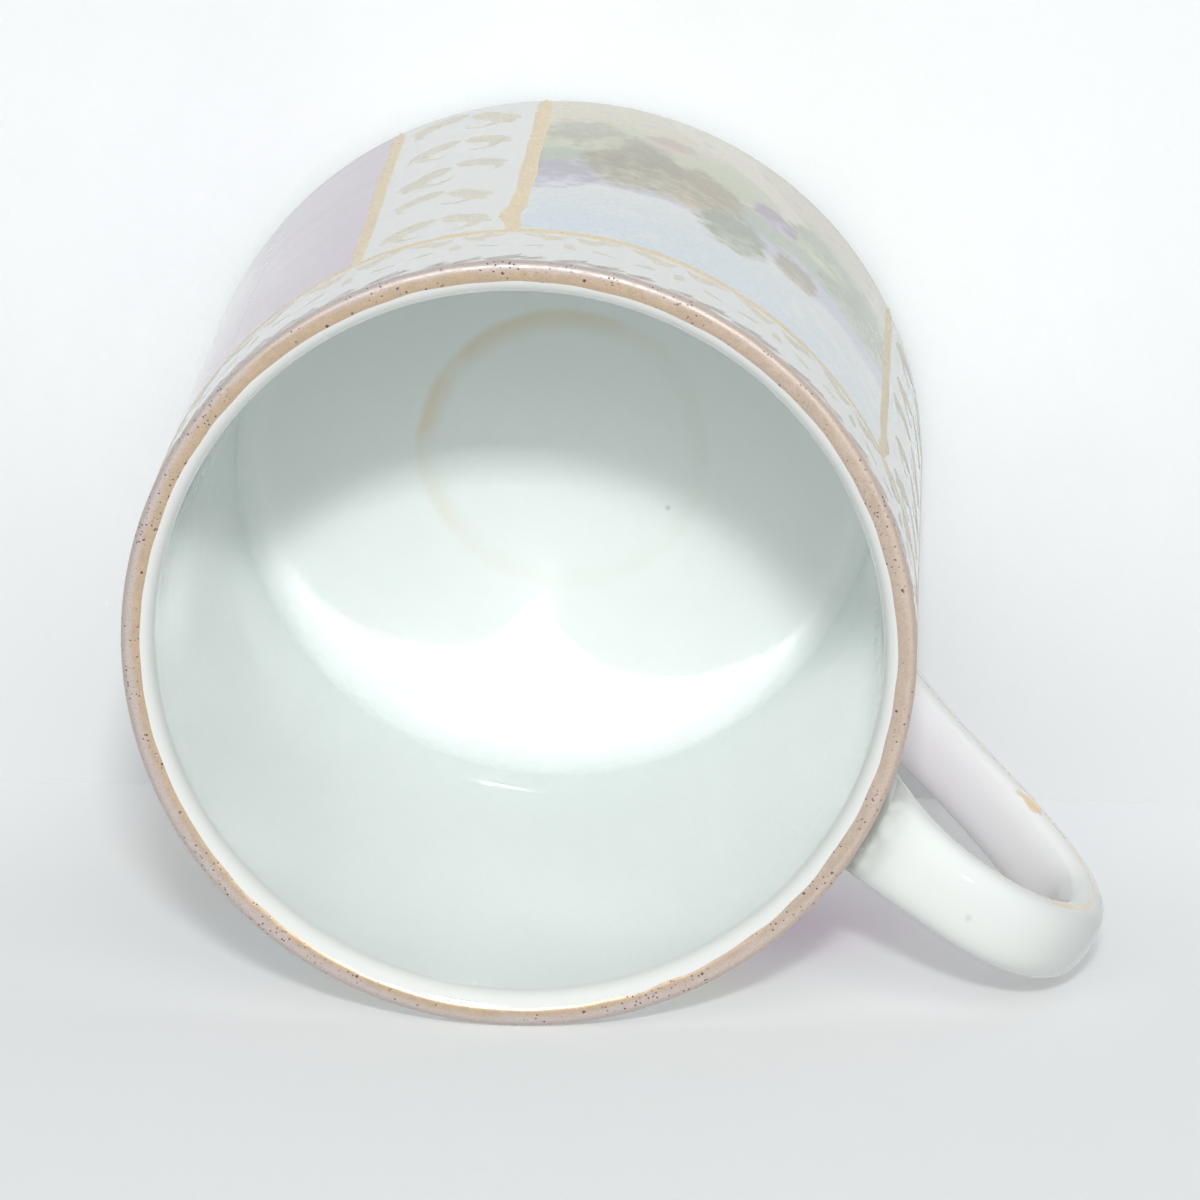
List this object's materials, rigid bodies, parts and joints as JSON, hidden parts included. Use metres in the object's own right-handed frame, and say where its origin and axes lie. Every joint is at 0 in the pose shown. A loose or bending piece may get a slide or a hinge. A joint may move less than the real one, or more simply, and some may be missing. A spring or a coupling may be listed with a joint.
{
  "type": "demitasse cup",
  "caption": "Straight-sided porcelain demitasse cup with a foot ring, a gilt rim and a looped ear handle luted to its wall.",
  "frame": {"origin": "on the surface the cup stands on, under the middle of the box round the cup and its handle", "axes": "+Z out of the mouth, -X towards the handle"},
  "size_m": [0.0816, 0.06, 0.059],
  "materials": {
    "body_porcelain": "glossy clear glaze with on-glaze painting",
    "handle_porcelain": "glossy clear glaze",
    "luting_slip": "glossy clear glaze over sponged slip",
    "rim_gilding": "worn burnished gold"
  },
  "bodies": {
    "root": {"cup_body": "body_porcelain", "handle": "handle_porcelain", "upper_luting_slip": "luting_slip", "lower_luting_slip": "luting_slip", "gilt_rim": "rim_gilding"}
  },
  "joints": []
}
